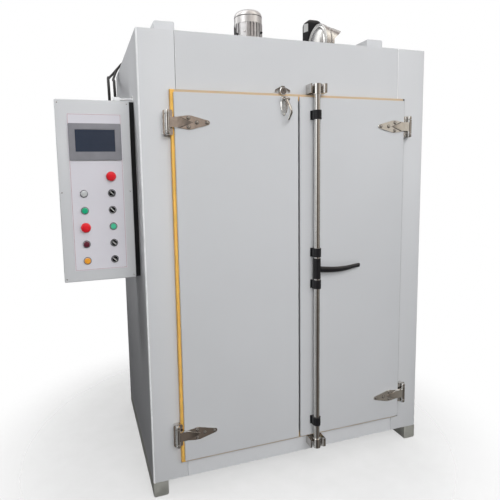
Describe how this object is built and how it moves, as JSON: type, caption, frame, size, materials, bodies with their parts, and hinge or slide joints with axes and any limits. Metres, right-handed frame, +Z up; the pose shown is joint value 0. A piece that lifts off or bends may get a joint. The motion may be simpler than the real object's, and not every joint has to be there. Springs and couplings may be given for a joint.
{
  "type": "industrial curing oven",
  "caption": "Insulated double-door curing oven on skids with a rod-locked door pair, side control box, roof fan and extraction blower.",
  "frame": {"origin": "centre of the whole oven's footprint at ground level, with the doors closed", "axes": "+Z up; the doors face -Y; +X to the right as seen from the front"},
  "size_m": [1.6236, 0.9716, 2.1682],
  "materials": {
    "cabinet_paint": "satin light-grey powder coat",
    "skid_paint": "dark olive-grey paint",
    "gasket_rubber": "matt ochre silicone",
    "chrome": "polished",
    "black_plastic": "semi-gloss",
    "black_rubber": "matt",
    "control_plate": "satin anodised",
    "grey_plastic": "matt",
    "dark_screen": "glossy, switched off",
    "red_plastic": "semi-gloss",
    "green_plastic": "semi-gloss",
    "cast_metal": "grey enamel",
    "cowl_paint": "grey enamel",
    "black_paint": "semi-gloss",
    "galvanised_steel": "galvanised sheet"
  },
  "bodies": {
    "cabinet": {"back_panel": "cabinet_paint", "bottom_sill": "cabinet_paint", "floor_panel": "cabinet_paint", "left_side_panel": "cabinet_paint", "right_side_panel": "cabinet_paint", "roof_panel": "cabinet_paint", "top_fascia": "cabinet_paint", "control_box": "cabinet_paint", "door_gasket": "gasket_rubber", "left_skid": "skid_paint", "right_skid": "skid_paint", "left_roof_runner": "cabinet_paint", "right_roof_runner": "cabinet_paint", "top_left_hinge_base": "chrome", "bottom_left_hinge_base": "chrome", "top_right_hinge_base": "chrome", "bottom_right_hinge_base": "chrome", "top_keeper": "chrome", "bottom_keeper": "chrome", "latch_strike": "chrome", "control_box_spacer": "black_rubber", "control_plate": "control_plate", "screen_bezel": "grey_plastic", "screen": "dark_screen", "control_box_glands": "black_plastic", "roof_glands": "black_plastic", "fan_cable": "black_rubber", "blower_cable": "black_rubber", "fan_flange": "cast_metal", "fan_motor_body": "cast_metal", "fan_cowl": "cowl_paint", "blower_motor": "black_paint", "blower_drum": "galvanised_steel", "exhaust_duct": "galvanised_steel"},
    "left_door": {"left_door": "cabinet_paint", "top_left_hinge_strap": "chrome", "bottom_left_hinge_strap": "chrome", "latch_body": "chrome"},
    "right_door": {"right_door": "cabinet_paint", "top_right_hinge_strap": "chrome", "bottom_right_hinge_strap": "chrome", "top_rod_guide": "black_plastic", "upper_middle_rod_guide": "black_plastic", "lower_middle_rod_guide": "black_plastic", "bottom_rod_guide": "black_plastic"},
    "lock_rod": {"lock_rod": "chrome", "lock_handle": "black_plastic"},
    "latch_lever": {"latch_lever": "chrome"},
    "emergency_stop_button": {"emergency_stop_button": "red_plastic"},
    "stop_button": {"stop_button": "red_plastic"},
    "start_button": {"start_button": "green_plastic"},
    "selector_1": {"selector_1": "black_plastic"},
    "selector_2": {"selector_2": "black_plastic"},
    "selector_3": {"selector_3": "black_plastic"},
    "selector_4": {"selector_4": "black_plastic"}
  },
  "joints": [
    {"name": "left_door_hinge", "type": "hinge", "parent": "cabinet", "child": "left_door", "pos_m": [-0.4042, -0.44711, 0.9053], "axis": [0, 0, -1], "range_deg": [0, 120]},
    {"name": "right_door_hinge", "type": "hinge", "parent": "cabinet", "child": "right_door", "pos_m": [0.7078, -0.44711, 0.9053], "axis": [0, 0, 1], "range_deg": [0, 120]},
    {"name": "lock_rod_turn", "type": "hinge", "parent": "right_door", "child": "lock_rod", "pos_m": [0.2258, -0.46481, 0.928], "axis": [0, 0, -1], "range_deg": [0, 100]},
    {"name": "latch_lever_pivot", "type": "hinge", "parent": "left_door", "child": "latch_lever", "pos_m": [0.0818, -0.46081, 1.6433], "axis": [-1, 0, 0], "range_deg": [0, 70]},
    {"name": "emergency_stop_press", "type": "slide", "parent": "cabinet", "child": "emergency_stop_button", "axis": [0, 1, 0], "range_m": [0, 0.004]},
    {"name": "stop_press", "type": "slide", "parent": "cabinet", "child": "stop_button", "axis": [0, 1, 0], "range_m": [0, 0.004], "stiffness_N_per_m": 800, "springref_m": -0.002},
    {"name": "start_press", "type": "slide", "parent": "cabinet", "child": "start_button", "axis": [0, 1, 0], "range_m": [0, 0.004], "stiffness_N_per_m": 800, "springref_m": -0.002},
    {"name": "selector_1_turn", "type": "hinge", "parent": "cabinet", "child": "selector_1", "pos_m": [-0.6113, -0.27752, 1.274], "axis": [0, 1, 0], "range_deg": [0, 90]},
    {"name": "selector_2_turn", "type": "hinge", "parent": "cabinet", "child": "selector_2", "pos_m": [-0.6113, -0.27752, 1.206], "axis": [0, 1, 0], "range_deg": [0, 90]},
    {"name": "selector_3_turn", "type": "hinge", "parent": "cabinet", "child": "selector_3", "pos_m": [-0.6113, -0.27752, 1.07], "axis": [0, 1, 0], "range_deg": [0, 90]},
    {"name": "selector_4_turn", "type": "hinge", "parent": "cabinet", "child": "selector_4", "pos_m": [-0.6113, -0.27752, 1.002], "axis": [0, 1, 0], "range_deg": [0, 90]}
  ]
}
